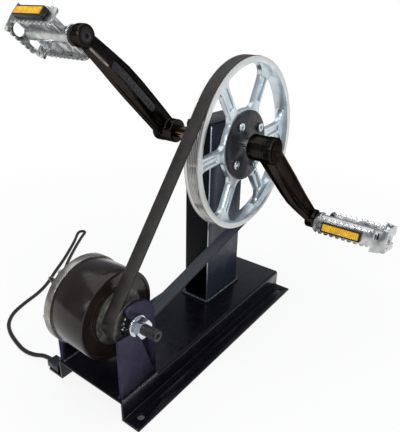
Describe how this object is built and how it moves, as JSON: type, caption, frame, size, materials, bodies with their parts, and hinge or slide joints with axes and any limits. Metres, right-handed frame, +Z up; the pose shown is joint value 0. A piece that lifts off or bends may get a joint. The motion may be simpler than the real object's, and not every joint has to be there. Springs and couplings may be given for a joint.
{
  "type": "hand crank generator",
  "caption": "Bench pedal generator: a folded steel base and post carry a two-arm crank with pedals and a spoked pulley that drives an outrunner generator by a ribbed belt.",
  "frame": {"origin": "middle of the four fixing holes, on the underside of the base flanges", "axes": "+X along the base from the generator to the post, +Y along the crank spindle away from the belt, +Z up from the floor"},
  "size_m": [0.4278, 0.5624, 0.4181],
  "materials": {
    "black_paint": "semi-gloss black paint over folded and welded steel",
    "weld_bead": "painted weld bead with bright glints",
    "gloss_black": "gloss black enamel",
    "cast_alloy": "cast aluminium with machined edges",
    "pedal_alloy": "bright cast and tumbled aluminium",
    "dark_steel": "blackened machined steel",
    "zinc_plate": "bright zinc plating",
    "bearing_steel": "ground bearing steel",
    "copper_wire": "enamelled copper wire",
    "magnet": "sintered magnet, matt grey",
    "bush_bronze": "sintered bronze",
    "belt_rubber": "ribbed rubber belt with a woven back",
    "soft_rubber": "moulded soft rubber",
    "cable_jacket": "black cable jacket",
    "black_plastic": "moulded black plastic",
    "amber_lens": "amber prismatic reflector"
  },
  "bodies": {
    "frame": {"axle_nuts": "zinc_plate", "axle_spacers": "dark_steel", "axle_washers": "zinc_plate", "base_channel": "black_paint", "bearing_housing": "dark_steel", "cable": "cable_jacket", "cable_plug": "black_plastic", "cable_sleeve": "soft_rubber", "drive_belt": "belt_rubber", "front_upright": "black_paint", "generator_axle": "dark_steel", "post_cap": "black_paint", "post_tube": "black_paint", "post_weld": "weld_bead", "rear_upright": "black_paint", "rotor_bearing_balls": "bearing_steel", "rotor_bearing_inner_rings": "bearing_steel", "spindle_bearing_balls": "bearing_steel", "spindle_bearing_outer_rings": "bearing_steel", "stator_coils": "copper_wire", "stator_core": "dark_steel", "upright_welds": "weld_bead"},
    "crank_set": {"crank_spindle": "dark_steel", "spindle_bearing_inner_rings": "bearing_steel", "drive_pulley": "cast_alloy", "hub_flange": "dark_steel", "hub_bolts": "zinc_plate", "right_crank": "gloss_black", "left_crank": "gloss_black", "crank_bolts": "zinc_plate", "crank_dust_caps": "black_plastic", "right_pedal_axle": "dark_steel", "left_pedal_axle": "dark_steel"},
    "rotor": {"rotor_shell": "gloss_black", "rotor_cover": "cast_alloy", "rotor_cover_screws": "zinc_plate", "rotor_magnets": "magnet", "small_pulley": "cast_alloy", "small_pulley_screws": "zinc_plate", "rotor_bearing_outer_rings": "bearing_steel"},
    "right_pedal": {"right_pedal_cage": "pedal_alloy", "right_pedal_barrel": "pedal_alloy", "right_pedal_seal": "soft_rubber", "right_pedal_end_cap": "black_plastic", "right_pedal_bushes": "bush_bronze", "right_pedal_reflector_housings": "black_plastic", "right_pedal_reflector_lenses": "amber_lens"},
    "left_pedal": {"left_pedal_cage": "pedal_alloy", "left_pedal_barrel": "pedal_alloy", "left_pedal_seal": "soft_rubber", "left_pedal_end_cap": "black_plastic", "left_pedal_bushes": "bush_bronze", "left_pedal_reflector_housings": "black_plastic", "left_pedal_reflector_lenses": "amber_lens"}
  },
  "joints": [
    {"name": "crank_spin", "type": "hinge", "parent": "frame", "child": "crank_set", "pos_m": [0.073, 0, 0.257], "axis": [0, 1, 0], "continuous": true},
    {"name": "rotor_spin", "type": "hinge", "parent": "frame", "child": "rotor", "pos_m": [-0.147, 0, 0.113], "axis": [0, 1, 0], "continuous": true},
    {"name": "right_pedal_spin", "type": "hinge", "parent": "crank_set", "child": "right_pedal", "pos_m": [0.18675, -0.096, 0.13067], "axis": [0, 1, 0], "continuous": true},
    {"name": "left_pedal_spin", "type": "hinge", "parent": "crank_set", "child": "left_pedal", "pos_m": [-0.04075, 0.124, 0.38333], "axis": [0, 1, 0], "continuous": true}
  ],
  "couplings": [
    {"joint": "rotor_spin", "follows": "crank_spin", "ratio": 4.6325}
  ]
}
